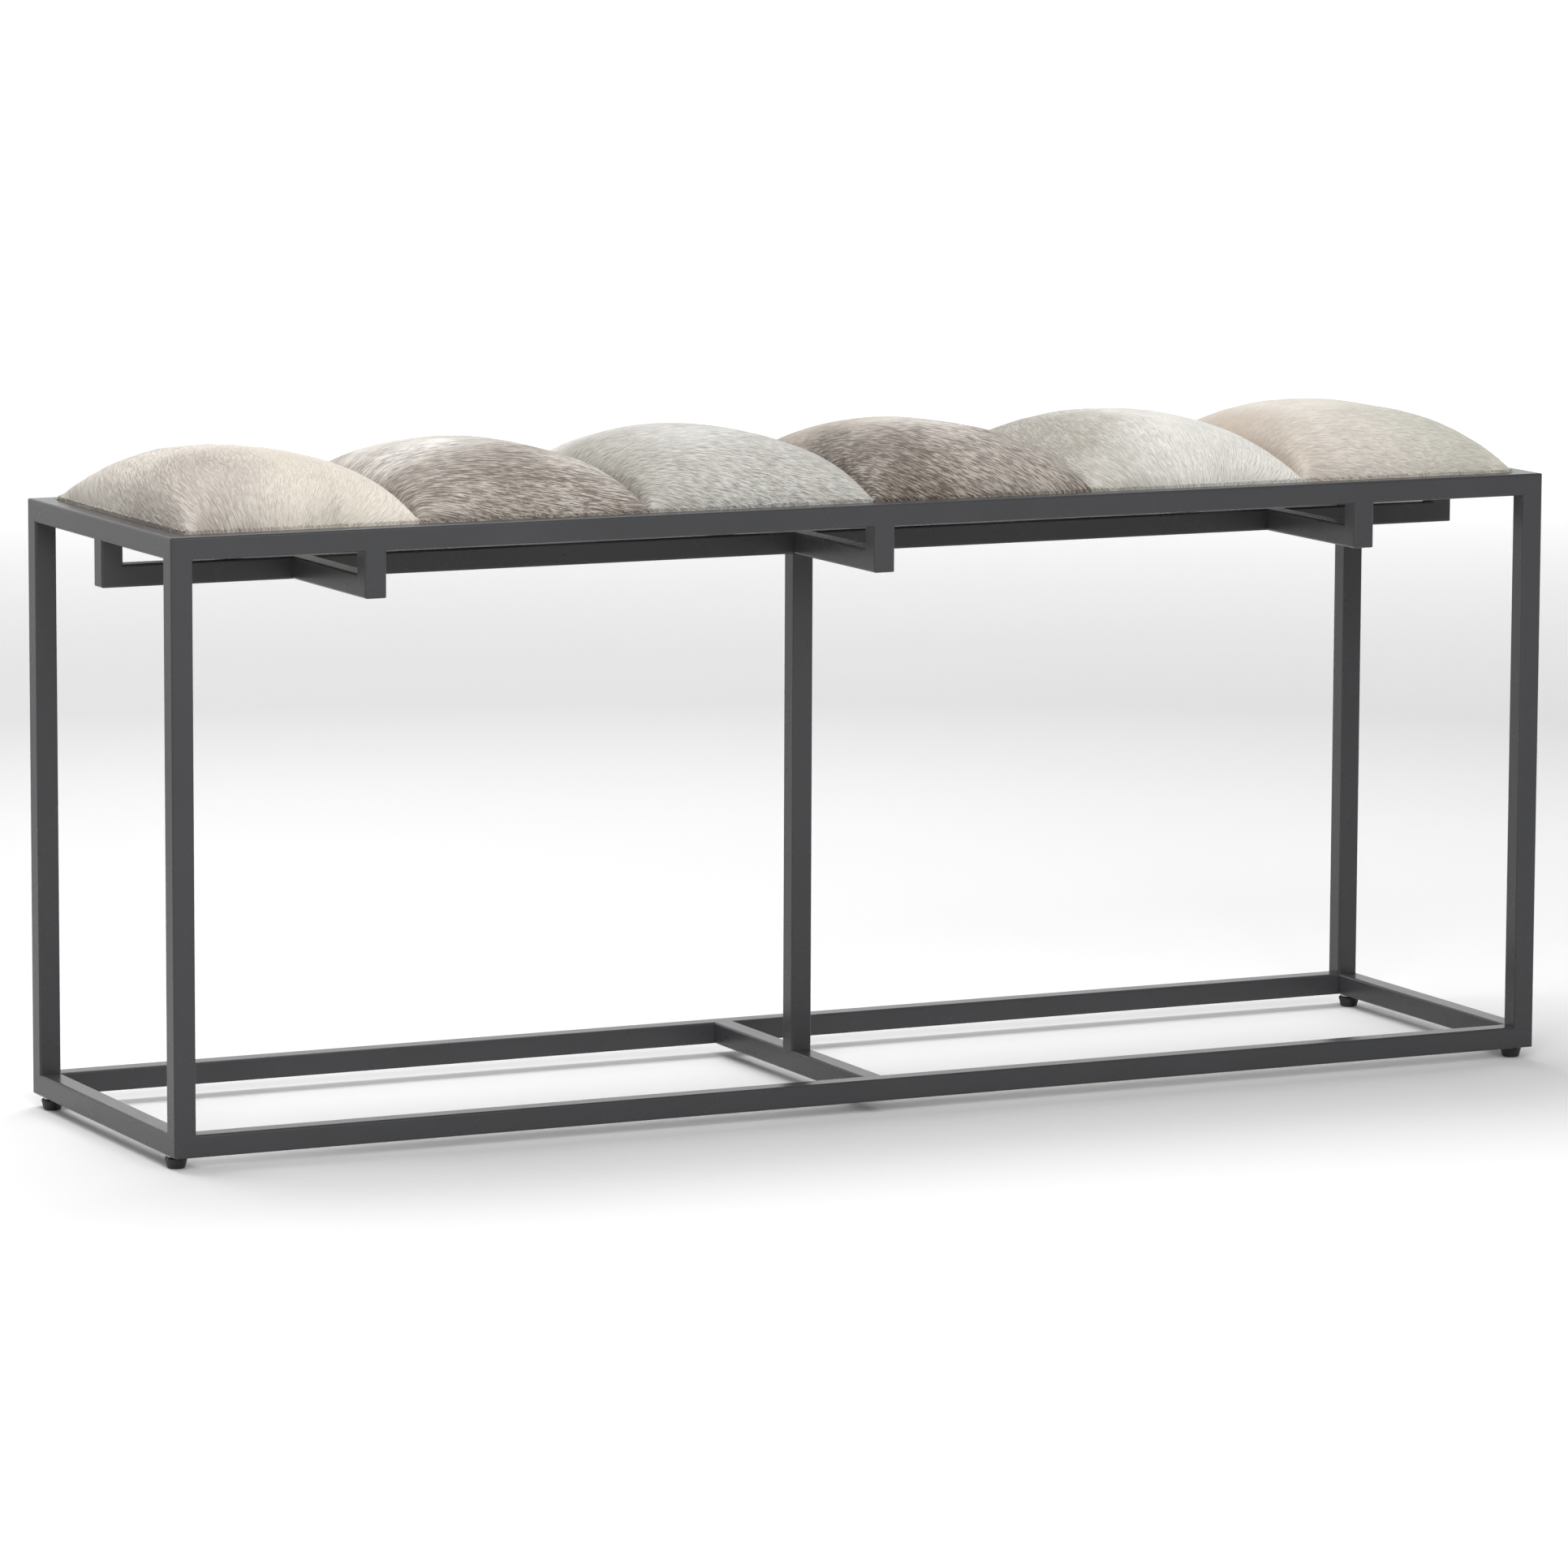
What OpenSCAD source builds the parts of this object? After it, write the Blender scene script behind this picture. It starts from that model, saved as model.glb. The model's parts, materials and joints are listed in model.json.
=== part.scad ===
// Entryway bench: a welded square-tube steel frame that carries six upholstered seat pads.
// Millimetres. The origin is on the floor under the middle of the bench.
// X runs along the length, the front faces -Y and +Z is up.

/* [Overall size] */
// Length of the frame, end to end
bench_length = 1220; // [1000:10:1600]
// Depth of the frame, front to back
bench_depth = 316; // [260:1:420]
// Height of the steel frame, without feet and pads
frame_height = 484; // [380:1:600]

/* [Tube] */
// Outer width of the square tube
tube_size = 18; // [17:0.5:24]
// Wall thickness of the tube
tube_wall = 1.5; // [1:0.1:1.8]
// Outer radius of the tube's long edges
tube_edge_r = 2; // [1.9:0.1:2.6]

/* [Under-seat beams] */
// Open gap between the top rails and the beams below them
beam_gap = 19; // [10:1:40]
// Distance from each end of the frame to the middle of the outer cross beam
cross_beam_inset = 170; // [60:5:300]

/* [Seat pads] */
// Width of the ledge that the pads rest on
ledge_width = 15; // [14:0.5:20]
// Thickness of the ledge
ledge_thickness = 3; // [2:0.5:4]
// Thickness of each pad's plywood board
board_thickness = 12; // [11:0.5:18]
// Thickness of the hide with its backing
hide_thickness = 2; // [1:0.1:3]
// Height of a pad's crown above the top rails
pad_crown = 55; // [48:1:75]
// Radius that rounds a pad's upper edges
pad_edge_r = 40; // [20:1:44]
// How far the crown falls from the middle of a pad to its long sides
pad_fall_across = 20; // [10:1:24]
// How far the crown falls from the middle of a pad to its front and rear
pad_fall_along = 32; // [16:1:36]
// Width of the hide that is folded under the board
wrap_width = 30; // [26:1:40]
// Gap between neighbouring pads
pad_gap = 0.6; // [0.4:0.1:2]
// Gap between the pads and the rails around them
pad_rail_gap = 1; // [0.5:0.1:3]
// Gap between the hide and what it covers
hide_gap = 0.3; // [0.2:0.1:0.5]

/* [Seat screws] */
// Diameter of the seat screws
screw_d = 4; // [3:0.5:5]
// Length of the seat screws below the head
screw_length = 14; // [10:0.5:15]
// Diameter of the screw heads
screw_head_d = 8; // [7:0.5:10]
// Height of the screw heads
screw_head_h = 2.4; // [1.5:0.1:3]
// Distance between the two screws at one end of a pad
screw_spread = 120; // [60:5:130]
// Radial clearance of the screws in the ledges and the hide
screw_clearance = 0.4; // [0.2:0.1:0.6]
// Radial clearance of the screws in the boards
screw_pilot_clearance = 0.03; // [0.02:0.01:0.1]

/* [Staples] */
// Distance from a pad's edge to its row of staples
staple_inset = 21; // [20:0.5:24]
// Length of a staple's crown
staple_crown = 10; // [6:0.5:12]
// Thickness of the staple wire
staple_wire = 0.8; // [0.6:0.1:1]
// Length of a staple's legs
staple_leg = 7; // [5:0.5:10]

/* [Levelling feet] */
// Distance from the front or rear of the frame to the middle of a foot
foot_inset = 21; // [20:0.5:60]
// Largest diameter of the moulded foot
foot_d = 18; // [16:0.5:30]
// Diameter of the foot at the floor
foot_floor_d = 15; // [14:0.5:15.5]
// Height of the moulded foot
foot_h = 9; // [8:0.5:14]
// Radius around the foot's lower edge
foot_edge_r = 2.5; // [1:0.1:3]
// Diameter of the foot's screw
stud_d = 8; // [6:0.5:8]
// How far the foot screws out
foot_travel = 8; // [4:0.5:9]
// Length of screw still held when the foot is screwed out
stud_hold = 5; // [4:0.5:6]
// Gap between the foot and the insert above it
foot_gap = 0.3; // [0.3:0.1:1]
// Diameter of the threaded insert's body
insert_d = 11; // [10.5:0.5:12]
// Length of the threaded insert's body
insert_length = 11; // [8:0.5:12]
// Diameter of the threaded insert's flange
insert_flange_d = 14; // [13:0.5:16]
// Thickness of the threaded insert's flange
insert_flange_h = 1.2; // [0.8:0.1:2]
// Radial running clearance between the foot's screw and its insert
stud_clearance = 0.05; // [0.03:0.01:0.1]
// Radial clearance of the insert in the rail's hole
insert_clearance = 0.05; // [0.03:0.01:0.1]

/* [Hidden] */
$fn = 64;

// Colours
steel_colour = [0.17, 0.17, 0.18];
zinc_colour = [0.62, 0.63, 0.65];
ply_colour = [0.78, 0.64, 0.46];
foam_colour = [0.93, 0.9, 0.78];
nylon_colour = [0.06, 0.06, 0.06];
hide_colours = [
    [0.85, 0.81, 0.74], [0.62, 0.58, 0.54], [0.75, 0.74, 0.71],
    [0.6, 0.56, 0.52], [0.78, 0.75, 0.7], [0.8, 0.77, 0.71]
];

// Planes that the tubes sit on
end_x = bench_length / 2;
face_y = bench_depth / 2;
half_tube = tube_size / 2;
rail_x = end_x - half_tube;
rail_y = face_y - half_tube;
frame_z = foot_h + foot_gap + insert_flange_h;
frame_top = frame_z + frame_height;
bottom_rail_z = frame_z + half_tube;
top_rail_z = frame_top - half_tube;
rail_underside = frame_top - tube_size;
beam_z = rail_underside - beam_gap - half_tube;
cross_beam_x = end_x - cross_beam_inset;
// How far a tube's end reaches into the rounded edge of the tube it is welded to
cope = 0.8 * tube_edge_r;
// How far a cutting shape stands past what it cuts
cut_over = 1;

// Stack of the seat, from the ledge upwards
ledge_z = rail_underside + tube_edge_r;
wrap_z = ledge_z + ledge_thickness;
board_z = wrap_z + hide_thickness;
foam_z = board_z + board_thickness;
crown_z = frame_top + pad_crown;

// Layout of the pads and their fasteners
pad_count = 6;
seat_length = bench_length - 2 * (tube_size + pad_rail_gap);
pad_pitch = (seat_length + pad_gap) / pad_count;
pad_width = pad_pitch - pad_gap;
pad_length = bench_depth - 2 * (tube_size + pad_rail_gap);
screw_y = face_y - tube_size - ledge_width / 2;
arch_lift = 1.5;
staples_across = 3;
staples_along = 4;

// Levelling feet
foot_y = face_y - foot_inset;
stud_sink = 5;
stud_head_d = 11;
stud_head_h = 2;
stud_top = frame_z - insert_flange_h + stud_hold + foot_travel;
mould_clearance = 0.03;

function pad_x(i) = (i - (pad_count + 1) / 2) * pad_pitch;
function spread(i, count, reach) = count < 2 ? 0 : reach * (2 * i / (count - 1) - 1);

// A square with round corners, made of true arcs
module rounded_square(size, r) {
    square([size, size - 2 * r], center = true);
    square([size - 2 * r, size], center = true);
    for (sx = [-1, 1], sy = [-1, 1])
        translate([sx * (size / 2 - r), sy * (size / 2 - r)])
            circle(r);
}

// Section of the tube; the solid one stands for the room that the tube takes
module tube_section(solid) {
    difference() {
        rounded_square(tube_size, tube_edge_r);
        if (!solid)
            rounded_square(tube_size - 2 * tube_wall, tube_edge_r - tube_wall);
    }
}

// Extrusions of a section along each axis
module along_x(x0, x1, y, z) {
    translate([x0, y, z]) rotate([90, 0, 90]) linear_extrude(x1 - x0) children();
}

module along_y(y0, y1, x, z) {
    translate([x, y1, z]) rotate([90, 0, 0]) linear_extrude(y1 - y0) children();
}

module along_z(z0, z1, x, y) {
    translate([x, y, z0]) linear_extrude(z1 - z0) children();
}

// Plan of the frame with its four corners rounded
module rounded_plan() {
    square([bench_length, bench_depth - 2 * tube_edge_r], center = true);
    square([bench_length - 2 * tube_edge_r, bench_depth], center = true);
    for (sx = [-1, 1], sy = [-1, 1])
        translate([sx * (end_x - tube_edge_r), sy * (face_y - tube_edge_r)])
            circle(tube_edge_r);
}

// Plan of a mitred rail whose outer face is on +Y, at a distance from the middle
module mitre_plan(half_length, outer) {
    inner = outer - tube_size;
    reach = cut_over;
    polygon([
        [-half_length - reach, outer + reach], [half_length + reach, outer + reach],
        [half_length - tube_size - reach, inner - reach],
        [-half_length + tube_size + reach, inner - reach]
    ]);
}

// Front or rear rail of a mitred ring
module long_rail(side, z, solid = false) {
    intersection() {
        along_x(-end_x, end_x, side * rail_y, z) tube_section(solid);
        along_z(z - tube_size, z + tube_size, 0, 0)
            scale([1, side]) mitre_plan(end_x, face_y);
        along_z(z - tube_size, z + tube_size, 0, 0) rounded_plan();
    }
}

// Left or right rail of a mitred ring
module end_rail(side, z, solid = false) {
    intersection() {
        along_y(-face_y, face_y, side * rail_x, z) tube_section(solid);
        along_z(z - tube_size, z + tube_size, 0, 0)
            rotate(-90 * side) mitre_plan(face_y, end_x);
        along_z(z - tube_size, z + tube_size, 0, 0) rounded_plan();
    }
}

// End rail of the bottom ring, with the holes for its two threaded inserts
module drilled_end_rail(side) {
    difference() {
        end_rail(side, bottom_rail_z);
        for (sy = [-1, 1])
            translate([side * rail_x, sy * foot_y, frame_z - cut_over])
                cylinder(r = insert_d / 2 + insert_clearance, h = tube_wall + 2 * cut_over);
    }
}

// Corner leg between the two rings
module leg(sx, sy) {
    difference() {
        along_z(frame_z + tube_size - cope, rail_underside + cope, sx * rail_x, sy * rail_y)
            tube_section(false);
        for (z = [bottom_rail_z, top_rail_z]) {
            long_rail(sy, z, true);
            end_rail(sx, z, true);
        }
    }
}

// Side view of a beam with mitred ends that turn up, for a given half length
module beam_mitre(half_length) {
    bottom = beam_z - half_tube;
    polygon([
        [-half_length - cut_over, bottom - cut_over], [half_length + cut_over, bottom - cut_over],
        [half_length - tube_size - cut_over, bottom + tube_size + cut_over],
        [-half_length + tube_size + cut_over, bottom + tube_size + cut_over]
    ]);
}

// Side view that rounds the lower corners of a beam, for a given half length
module beam_outline(half_length) {
    bottom = beam_z - half_tube;
    translate([-half_length, bottom + tube_edge_r])
        square([2 * half_length, frame_height]);
    translate([-half_length + tube_edge_r, bottom])
        square([2 * (half_length - tube_edge_r), frame_height]);
    for (s = [-1, 1])
        translate([s * (half_length - tube_edge_r), bottom + tube_edge_r])
            circle(tube_edge_r);
}

// Front-to-back beam under the seat
module cross_beam(x, solid = false) {
    intersection() {
        along_y(-face_y, face_y, x, beam_z) tube_section(solid);
        along_x(x - tube_size, x + tube_size, 0, 0) beam_mitre(face_y);
        along_x(x - tube_size, x + tube_size, 0, 0) beam_outline(face_y);
    }
}

// Short post that hangs a cross beam from the front or rear top rail
module drop_post(x, side) {
    difference() {
        intersection() {
            along_z(beam_z - half_tube, rail_underside + cope, x, side * rail_y)
                tube_section(false);
            along_x(x - tube_size, x + tube_size, 0, 0) beam_outline(face_y);
        }
        along_x(x - tube_size, x + tube_size, 0, 0) beam_mitre(face_y);
        long_rail(side, top_rail_z, true);
    }
}

// Stretch of the lengthwise beam between two places, welded to the cross beams it meets
module long_beam(x0, x1) {
    start = x0 > -end_x ? x0 - cope : x0;
    finish = x1 < end_x ? x1 + cope : x1;
    difference() {
        intersection() {
            along_x(start, finish, 0, beam_z) tube_section(false);
            along_y(-tube_size, tube_size, 0, 0) beam_mitre(end_x);
            along_y(-tube_size, tube_size, 0, 0) beam_outline(end_x);
        }
        for (x = [-cross_beam_x, 0, cross_beam_x])
            cross_beam(x, true);
    }
}

// Short post that hangs the lengthwise beam from the left or right top rail
module end_drop_post(side) {
    difference() {
        intersection() {
            along_z(beam_z - half_tube, rail_underside + cope, side * rail_x, 0)
                tube_section(false);
            along_y(-tube_size, tube_size, 0, 0) beam_outline(end_x);
        }
        along_y(-tube_size, tube_size, 0, 0) beam_mitre(end_x);
        end_rail(side, top_rail_z, true);
    }
}

// Bar across the bottom ring, under the middle of the seat
module cross_bar(solid = false) {
    difference() {
        along_y(-face_y + tube_size - cope, face_y - tube_size + cope, 0, bottom_rail_z)
            tube_section(solid);
        for (side = [-1, 1])
            long_rail(side, bottom_rail_z, true);
    }
}

// Post from the bottom cross bar up to the crossing of the beams
module middle_post() {
    difference() {
        along_z(frame_z + tube_size - cope, beam_z - half_tube, 0, 0)
            tube_section(false);
        cross_bar(true);
    }
}

// Places of the two screws at one end of every pad
module at_screws(side) {
    for (i = [1:pad_count], s = [-1, 1])
        translate([pad_x(i) + s * screw_spread / 2, side * screw_y, 0])
            children();
}

// Flat bar welded inside the front or rear top rail, for the pads to rest on
module ledge(side) {
    inner = face_y - tube_size;
    difference() {
        translate([-end_x + tube_size, side > 0 ? inner - ledge_width : -inner, ledge_z])
            cube([bench_length - 2 * tube_size, ledge_width, ledge_thickness]);
        at_screws(side)
            translate([0, 0, ledge_z - cut_over])
                cylinder(r = screw_d / 2 + screw_clearance, h = ledge_thickness + 2 * cut_over);
    }
}

// Outline of an upholstered pad seen from one end: round shoulders under a shallow crown, with a
// flat base at height 0
module pad_outline(width, height, edge_r, fall) {
    crown_r = (width * width / 4 + fall * fall) / (2 * fall);
    intersection() {
        union() {
            translate([-width / 2, 0]) square([width, height - edge_r]);
            translate([-width / 2 + edge_r, 0]) square([width - 2 * edge_r, height + cut_over]);
            for (s = [-1, 1])
                translate([s * (width / 2 - edge_r), height - edge_r])
                    circle(edge_r);
        }
        translate([0, height - crown_r]) circle(crown_r, $fn = 256);
        translate([-width / 2 - cut_over, 0])
            square([width + 2 * cut_over, height + 2 * cut_over]);
    }
}

// Pillow that is domed both ways, shrunk by an inset on every side but its base. The arch from front
// to rear stands slightly higher than the one across, so that the two arches cross cleanly.
module pillow(x, base, inset) {
    height = crown_z - inset - base;
    edge_r = pad_edge_r - inset;
    width = pad_width - 2 * inset;
    length = pad_length - 2 * inset;
    intersection() {
        along_y(-length / 2, length / 2, x, base)
            pad_outline(width, height, edge_r, pad_fall_across);
        along_x(x - width / 2, x + width / 2, 0, base)
            pad_outline(length, height + arch_lift, edge_r, pad_fall_along);
    }
}

// Plywood board at the bottom of a pad
module board(i) {
    inset = hide_thickness + hide_gap;
    width = pad_width - 2 * inset;
    length = pad_length - 2 * inset;
    difference() {
        translate([pad_x(i) - width / 2, -length / 2, board_z])
            cube([width, length, board_thickness]);
        for (sx = [-1, 1], sy = [-1, 1])
            translate([pad_x(i) + sx * screw_spread / 2, sy * screw_y, board_z - cut_over])
                cylinder(
                    r = screw_d / 2 + screw_pilot_clearance,
                    h = ledge_z + screw_length - board_z + 2 * cut_over
                );
    }
}

// Hide that covers a pad and is folded under its board
module cover(i) {
    difference() {
        pillow(pad_x(i), wrap_z, 0);
        pillow(pad_x(i), board_z, hide_thickness);
        translate([pad_x(i), 0, wrap_z])
            cube(
                [pad_width - 2 * wrap_width, pad_length - 2 * wrap_width, 4 * hide_thickness],
                center = true
            );
        for (sx = [-1, 1], sy = [-1, 1])
            translate([pad_x(i) + sx * screw_spread / 2, sy * screw_y, wrap_z - cut_over])
                cylinder(
                    r = screw_d / 2 + screw_clearance,
                    h = hide_thickness + 2 * cut_over
                );
    }
}

// Pan-head wood screw, driven upwards
module seat_screw() {
    tip = screw_d;
    slot_w = 0.9;
    slot_depth = 1;
    difference() {
        union() {
            translate([0, 0, -screw_head_h])
                cylinder(d = screw_head_d, h = screw_head_h);
            cylinder(d = screw_d, h = screw_length - tip);
            translate([0, 0, screw_length - tip])
                cylinder(d1 = screw_d, d2 = screw_d / 4, h = tip);
        }
        for (turn = [0, 90])
            rotate(turn)
                translate([0, 0, -screw_head_h])
                    cube([screw_head_d * 0.6, slot_w, 2 * slot_depth], center = true);
    }
}

// Wire staple, driven upwards, with its crown along X
module staple() {
    translate([-staple_crown / 2, -staple_wire / 2, -staple_wire])
        cube([staple_crown, staple_wire, staple_wire]);
    for (s = [-1, 1])
        translate([s * (staple_crown - staple_wire) / 2, 0, staple_leg / 2 - staple_wire / 2])
            cube([staple_wire, staple_wire, staple_leg + staple_wire], center = true);
}

// Staples around the underside of one pad
module staples(i) {
    row_x = pad_width / 2 - staple_inset;
    row_y = pad_length / 2 - staple_inset;
    for (side = [-1, 1]) {
        for (n = [0:staples_across - 1])
            translate([pad_x(i) + spread(n, staples_across, row_x - staple_inset), side * row_y, wrap_z])
                staple();
        for (n = [0:staples_along - 1])
            translate([pad_x(i) + side * row_x, spread(n, staples_along, row_y - staple_inset), wrap_z])
                rotate(90)
                    staple();
    }
}

// Threaded insert in the underside of a bottom end rail
module foot_insert() {
    difference() {
        union() {
            translate([0, 0, frame_z - insert_flange_h])
                cylinder(d = insert_flange_d, h = insert_flange_h);
            translate([0, 0, frame_z - insert_flange_h / 2])
                cylinder(d = insert_d, h = insert_length + insert_flange_h / 2);
        }
        translate([0, 0, frame_z - insert_flange_h - cut_over])
            cylinder(r = stud_d / 2 + stud_clearance, h = insert_length + insert_flange_h + 2 * cut_over);
    }
}

// Screw of a levelling foot, with the head that is moulded into the foot; it can be grown for its hole
module stud(grow = 0) {
    head_z = foot_h - stud_sink;
    translate([0, 0, head_z - grow])
        cylinder(r = stud_head_d / 2 + grow, h = stud_head_h + 2 * grow);
    translate([0, 0, head_z + stud_head_h / 2])
        cylinder(r = stud_d / 2 + grow, h = stud_top - head_z - stud_head_h / 2);
}

// Moulded foot with a round lower edge, around the head of its screw
module glide() {
    difference() {
        rotate_extrude() {
            polygon([
                [0, 0], [foot_floor_d / 2 - foot_edge_r, 0],
                [foot_floor_d / 2 - foot_edge_r, foot_edge_r], [foot_floor_d / 2, foot_edge_r],
                [foot_d / 2, foot_h - 1], [foot_d / 2 - 1, foot_h], [0, foot_h]
            ]);
            intersection() {
                translate([foot_floor_d / 2 - foot_edge_r, foot_edge_r]) circle(foot_edge_r);
                square([foot_floor_d, foot_h]);
            }
        }
        stud(mould_clearance);
    }
}

// Parts of the frame
module top_rail_front() color(steel_colour) long_rail(-1, top_rail_z);
module top_rail_rear() color(steel_colour) long_rail(1, top_rail_z);
module top_rail_left() color(steel_colour) end_rail(-1, top_rail_z);
module top_rail_right() color(steel_colour) end_rail(1, top_rail_z);
module leg_front_left() color(steel_colour) leg(-1, -1);
module leg_front_right() color(steel_colour) leg(1, -1);
module leg_rear_left() color(steel_colour) leg(-1, 1);
module leg_rear_right() color(steel_colour) leg(1, 1);
module bottom_rail_front() color(steel_colour) long_rail(-1, bottom_rail_z);
module bottom_rail_rear() color(steel_colour) long_rail(1, bottom_rail_z);
module bottom_rail_left() color(steel_colour) drilled_end_rail(-1);
module bottom_rail_right() color(steel_colour) drilled_end_rail(1);
module bottom_cross_bar() color(steel_colour) cross_bar();
module centre_post() color(steel_colour) middle_post();
module cross_beam_left() color(steel_colour) cross_beam(-cross_beam_x);
module cross_beam_middle() color(steel_colour) cross_beam(0);
module cross_beam_right() color(steel_colour) cross_beam(cross_beam_x);
module drop_post_front_left() color(steel_colour) drop_post(-cross_beam_x, -1);
module drop_post_front_middle() color(steel_colour) drop_post(0, -1);
module drop_post_front_right() color(steel_colour) drop_post(cross_beam_x, -1);
module drop_post_rear_left() color(steel_colour) drop_post(-cross_beam_x, 1);
module drop_post_rear_middle() color(steel_colour) drop_post(0, 1);
module drop_post_rear_right() color(steel_colour) drop_post(cross_beam_x, 1);
module long_beam_outer_left() color(steel_colour) long_beam(-end_x, -cross_beam_x - half_tube);
module long_beam_inner_left() color(steel_colour) long_beam(-cross_beam_x + half_tube, -half_tube);
module long_beam_inner_right() color(steel_colour) long_beam(half_tube, cross_beam_x - half_tube);
module long_beam_outer_right() color(steel_colour) long_beam(cross_beam_x + half_tube, end_x);
module end_drop_post_left() color(steel_colour) end_drop_post(-1);
module end_drop_post_right() color(steel_colour) end_drop_post(1);
module seat_ledge_front() color(steel_colour) ledge(-1);
module seat_ledge_rear() color(steel_colour) ledge(1);

// Parts of the seat
module pad_board(i) color(ply_colour) board(i);
module pad_foam(i) color(foam_colour) pillow(pad_x(i), foam_z, hide_thickness + hide_gap);
module pad_cover(i) color(hide_colours[i - 1]) cover(i);

module seat_screws() {
    color(zinc_colour)
        for (side = [-1, 1])
            at_screws(side)
                translate([0, 0, ledge_z])
                    seat_screw();
}

module cover_staples() {
    color(zinc_colour)
        for (i = [1:pad_count])
            staples(i);
}

// Parts of the feet
module foot_inserts() {
    color(zinc_colour)
        for (sx = [-1, 1], sy = [-1, 1])
            translate([sx * rail_x, sy * foot_y, 0])
                foot_insert();
}

module foot_stud(sx, sy) color(zinc_colour) translate([sx * rail_x, sy * foot_y, 0]) stud();
module foot_glide(sx, sy) color(nylon_colour) translate([sx * rail_x, sy * foot_y, 0]) glide();

top_rail_front();
top_rail_rear();
top_rail_left();
top_rail_right();
leg_front_left();
leg_front_right();
leg_rear_left();
leg_rear_right();
bottom_rail_front();
bottom_rail_rear();
bottom_rail_left();
bottom_rail_right();
bottom_cross_bar();
centre_post();
cross_beam_left();
cross_beam_middle();
cross_beam_right();
drop_post_front_left();
drop_post_front_middle();
drop_post_front_right();
drop_post_rear_left();
drop_post_rear_middle();
drop_post_rear_right();
long_beam_outer_left();
long_beam_inner_left();
long_beam_inner_right();
long_beam_outer_right();
end_drop_post_left();
end_drop_post_right();
seat_ledge_front();
seat_ledge_rear();
pad_board(1);  // pad_board_1
pad_board(2);  // pad_board_2
pad_board(3);  // pad_board_3
pad_board(4);  // pad_board_4
pad_board(5);  // pad_board_5
pad_board(6);  // pad_board_6
pad_foam(1);  // pad_foam_1
pad_foam(2);  // pad_foam_2
pad_foam(3);  // pad_foam_3
pad_foam(4);  // pad_foam_4
pad_foam(5);  // pad_foam_5
pad_foam(6);  // pad_foam_6
pad_cover(1);  // pad_cover_1
pad_cover(2);  // pad_cover_2
pad_cover(3);  // pad_cover_3
pad_cover(4);  // pad_cover_4
pad_cover(5);  // pad_cover_5
pad_cover(6);  // pad_cover_6
seat_screws();
cover_staples();
foot_inserts();
foot_stud(-1, -1);  // foot_stud_front_left
foot_stud(1, -1);  // foot_stud_front_right
foot_stud(-1, 1);  // foot_stud_rear_left
foot_stud(1, 1);  // foot_stud_rear_right
foot_glide(-1, -1);  // foot_glide_front_left
foot_glide(1, -1);  // foot_glide_front_right
foot_glide(-1, 1);  // foot_glide_rear_left
foot_glide(1, 1);  // foot_glide_rear_right
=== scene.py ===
import json
import math
import random

import bmesh
import bpy
import numpy as np
from mathutils import Matrix, Vector, noise


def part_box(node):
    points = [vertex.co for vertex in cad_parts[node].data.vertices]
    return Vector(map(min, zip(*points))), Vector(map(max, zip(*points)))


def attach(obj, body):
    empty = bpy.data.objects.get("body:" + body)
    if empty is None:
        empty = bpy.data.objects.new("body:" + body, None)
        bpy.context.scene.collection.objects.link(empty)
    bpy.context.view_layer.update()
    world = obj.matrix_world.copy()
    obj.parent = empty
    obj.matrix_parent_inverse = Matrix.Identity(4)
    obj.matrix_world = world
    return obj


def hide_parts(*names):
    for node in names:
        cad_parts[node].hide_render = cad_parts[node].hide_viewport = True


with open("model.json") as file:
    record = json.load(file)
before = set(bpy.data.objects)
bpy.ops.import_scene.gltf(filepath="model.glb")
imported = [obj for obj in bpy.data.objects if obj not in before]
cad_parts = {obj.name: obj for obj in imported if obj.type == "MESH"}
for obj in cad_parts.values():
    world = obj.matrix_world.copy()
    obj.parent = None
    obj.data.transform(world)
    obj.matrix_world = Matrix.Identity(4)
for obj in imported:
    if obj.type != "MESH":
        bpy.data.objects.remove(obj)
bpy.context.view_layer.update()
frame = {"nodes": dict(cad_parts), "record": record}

MM = 0.001
PAD_COUNT = 6
PAD_NUMBERS = range(1, PAD_COUNT + 1)
RAIL_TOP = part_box("top_rail_front")[1].z
BOARD_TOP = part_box("pad_board_1")[1].z

# Camera: where it stands, which way it looks and how long its lens is
CAMERA_PLACE = (-2.8015, -5.7975, 1.1676)
CAMERA_AZIMUTH = -25.69
CAMERA_ELEVATION = 8.125
CAMERA_ROLL = 0.24
CAMERA_LENS = 182.07

# Shape of the pads' domes: where they start above the rails, how they round off, and their mesh
EDGE_RISE = 2.5 * MM
ACROSS_POWER, ACROSS_ROOT = 2.0, 0.36
ALONG_POWER, ALONG_ROOT = 3.0, 0.74
PLAN_CORNER = 2.0 * MM
UNEVENNESS = 0.035
CELLS_ACROSS, CELLS_ALONG = 32, 44

# Hide: its thickness, how far it starts below its crown's height, the border folded under the board,
# and its cloth simulation
HIDE_THICK = 1.7 * MM
HIDE_DROP = 2.0 * MM
FOLD = 28 * MM
SWELL_CAP = 6 * MM
SWELL_FRAMES = 20
SWELL_PRESSURE = 4.0
SWELL_OVERHANG_ALONG = 1.0 * MM

# Hair along the free edges, in millimetres: its roots' place and rise, its tips' reach, rise and lean,
# the tufts' width and bend, and how far apart they stand
ROOT_INSET, ROOT_RISE = 2.2, (2.6, 4.2)
TIP_REACH, TIP_RISE, TIP_LEAN = (0.8, 3.2), (0.35, 0.8), (-1.0, 1.0)
TUFT_WIDTH, TUFT_BEND, TUFT_SPACING = (0.7, 1.3), 0.7, (0.9, 2.0)
END_MARGIN = 0.8

# Foam core: how far it stays inside the hide
FOAM_INSET = 3.2 * MM
FOAM_DROP = 5.5 * MM

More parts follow.
